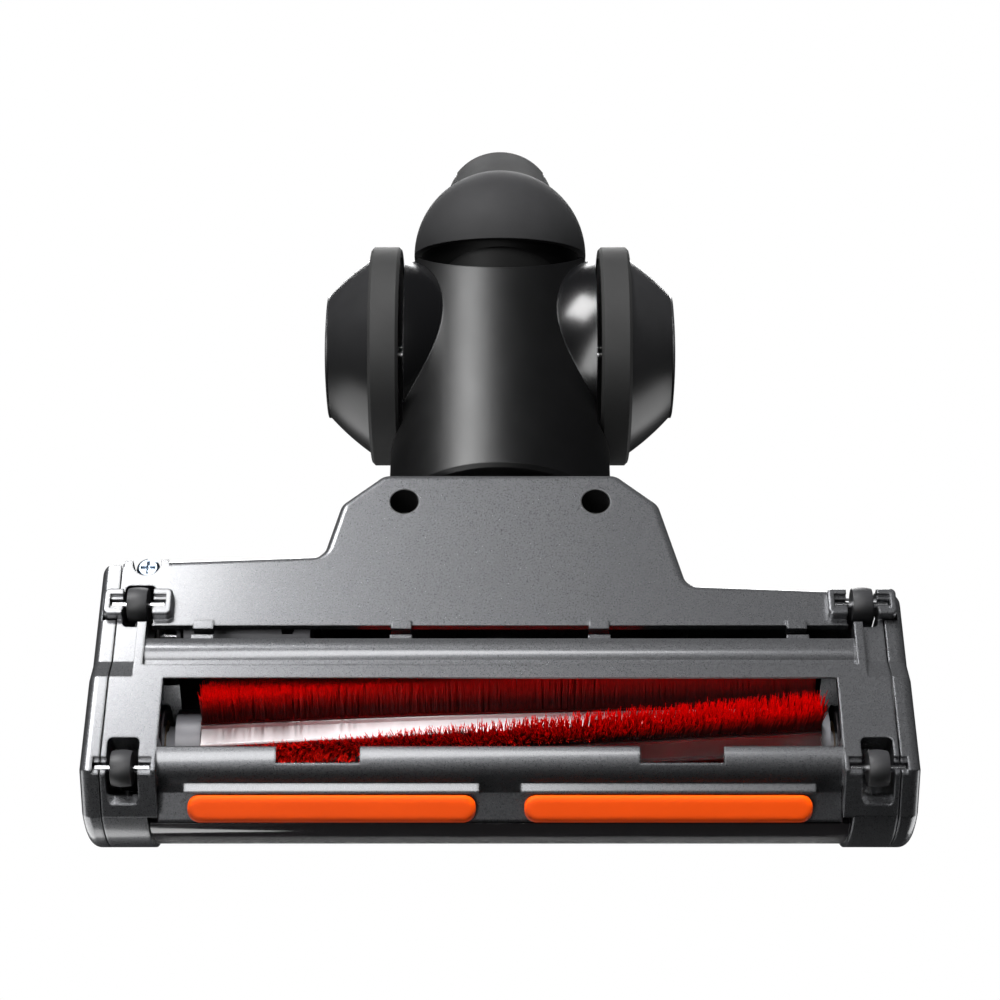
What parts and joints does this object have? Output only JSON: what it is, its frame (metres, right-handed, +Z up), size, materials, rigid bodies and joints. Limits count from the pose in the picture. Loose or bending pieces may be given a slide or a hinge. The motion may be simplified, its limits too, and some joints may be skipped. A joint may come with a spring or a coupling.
{
  "type": "vacuum floor brush head",
  "caption": "Powered vacuum floor head with a roller brush behind a clear window, soft front strips, floor rollers, large wheels, a rolling neck and a pitching elbow with a wand spigot.",
  "frame": {"origin": "centre of the bounding box on the floor under the rollers and wheels", "axes": "+X towards the drive side, -Y towards the front, +Z up"},
  "size_m": [0.225, 0.2692, 0.0793],
  "materials": {
    "sole_grey": "metallic grey plastic with a fine flake, gloss",
    "cover_grey": "dark grey plastic, satin gloss",
    "smoked_window": "smoked clear plastic, gloss",
    "black_plastic": "black plastic, satin",
    "motor_can": "plated steel can, satin",
    "belt_rubber": "black belt rubber, matte",
    "board_green": "green circuit board, satin",
    "steel": "bright steel",
    "pulley_plastic": "white acetal, satin",
    "core_silver": "pale silvery plastic, gloss",
    "lock_plastic": "dark plastic, satin",
    "neck_grey": "dark grey plastic, satin",
    "hood_charcoal": "charcoal plastic, matte",
    "contact_brass": "plated brass, bright",
    "bristle_red": "red nylon bristles",
    "strip_orange": "orange soft rubber, satin",
    "bearing_bronze": "sintered bronze, matte",
    "wheel_grey": "dark grey plastic, satin",
    "tyre_black": "black rubber, matte",
    "roller_grey": "dark grey plastic, matte"
  },
  "bodies": {
    "head": {"sole_plate": "sole_grey", "top_cover": "cover_grey", "brush_window": "smoked_window", "chamber_liner": "black_plastic", "neck_retainer": "black_plastic", "drive_motor": "motor_can", "motor_cradle": "black_plastic", "drive_belt": "belt_rubber", "control_board": "board_green", "cover_screws": "steel", "end_cap_drive": "cover_grey", "end_cap_free": "cover_grey", "front_strip_drive": "strip_orange", "front_strip_free": "strip_orange", "brush_bearing_drive": "bearing_bronze", "brush_bearing_free": "bearing_bronze", "roller_axle_front_drive": "steel", "roller_axle_front_free": "steel", "roller_axle_rear_drive": "steel", "roller_axle_rear_free": "steel"},
    "brush": {"brush_core": "core_silver", "brush_hub": "black_plastic", "brush_plug": "black_plastic", "brush_pulley": "pulley_plastic", "bristle_strip_1": "bristle_red", "bristle_strip_2": "bristle_red", "bristle_strip_3": "bristle_red", "bristle_strip_4": "bristle_red", "bristle_strip_5": "bristle_red", "bristle_strip_6": "bristle_red"},
    "motor_rotor": {"motor_shaft": "steel", "motor_pulley": "pulley_plastic"},
    "lock": {"brush_lock": "lock_plastic"},
    "neck": {"neck_duct": "neck_grey", "wheel_axle_drive": "steel", "wheel_axle_free": "steel"},
    "elbow": {"elbow_duct": "black_plastic", "elbow_hood": "hood_charcoal", "wand_spigot": "hood_charcoal", "contact_block": "black_plastic", "contact_pins": "contact_brass"},
    "wheel_drive": {"wheel_rim_drive": "wheel_grey", "wheel_tyre_drive": "tyre_black", "hub_cap_drive": "wheel_grey"},
    "roller_front_drive": {"roller_front_drive": "roller_grey"},
    "roller_rear_drive": {"roller_rear_drive": "roller_grey"},
    "wheel_free": {"wheel_rim_free": "wheel_grey", "wheel_tyre_free": "tyre_black", "hub_cap_free": "wheel_grey"},
    "roller_front_free": {"roller_front_free": "roller_grey"},
    "roller_rear_free": {"roller_rear_free": "roller_grey"}
  },
  "joints": [
    {"name": "brush_spin", "type": "hinge", "parent": "head", "child": "brush", "pos_m": [0, -0.1066, 0.023], "axis": [1, 0, 0], "continuous": true},
    {"name": "motor_spin", "type": "hinge", "parent": "head", "child": "motor_rotor", "pos_m": [0, -0.06741, 0.031], "axis": [1, 0, 0], "continuous": true},
    {"name": "lock_turn", "type": "hinge", "parent": "head", "child": "lock", "pos_m": [0, -0.1066, 0.023], "axis": [1, 0, 0], "range_deg": [0, 90]},
    {"name": "neck_roll", "type": "hinge", "parent": "head", "child": "neck", "pos_m": [0, -0.0273, 0.038], "axis": [0, 1, 0], "range_deg": [-45, 45]},
    {"name": "elbow_pitch", "type": "hinge", "parent": "neck", "child": "elbow", "pos_m": [0, 0.0364, 0.0345], "axis": [1, 0, 0], "range_deg": [0, 60]},
    {"name": "wheel_spin_drive", "type": "hinge", "parent": "neck", "child": "wheel_drive", "pos_m": [0.0402, 0.0364, 0.0345], "axis": [1, 0, 0], "continuous": true},
    {"name": "roller_spin_front_drive", "type": "hinge", "parent": "head", "child": "roller_front_drive", "pos_m": [0.101, -0.1225, 0.005], "axis": [1, 0, 0], "continuous": true},
    {"name": "roller_spin_rear_drive", "type": "hinge", "parent": "head", "child": "roller_rear_drive", "pos_m": [0.101, -0.072, 0.005], "axis": [1, 0, 0], "continuous": true},
    {"name": "wheel_spin_free", "type": "hinge", "parent": "neck", "child": "wheel_free", "pos_m": [-0.0402, 0.0364, 0.0345], "axis": [1, 0, 0], "continuous": true},
    {"name": "roller_spin_front_free", "type": "hinge", "parent": "head", "child": "roller_front_free", "pos_m": [-0.101, -0.1225, 0.005], "axis": [1, 0, 0], "continuous": true},
    {"name": "roller_spin_rear_free", "type": "hinge", "parent": "head", "child": "roller_rear_free", "pos_m": [-0.101, -0.072, 0.005], "axis": [1, 0, 0], "continuous": true}
  ],
  "couplings": [
    {"joint": "motor_spin", "follows": "brush_spin", "ratio": 2}
  ]
}
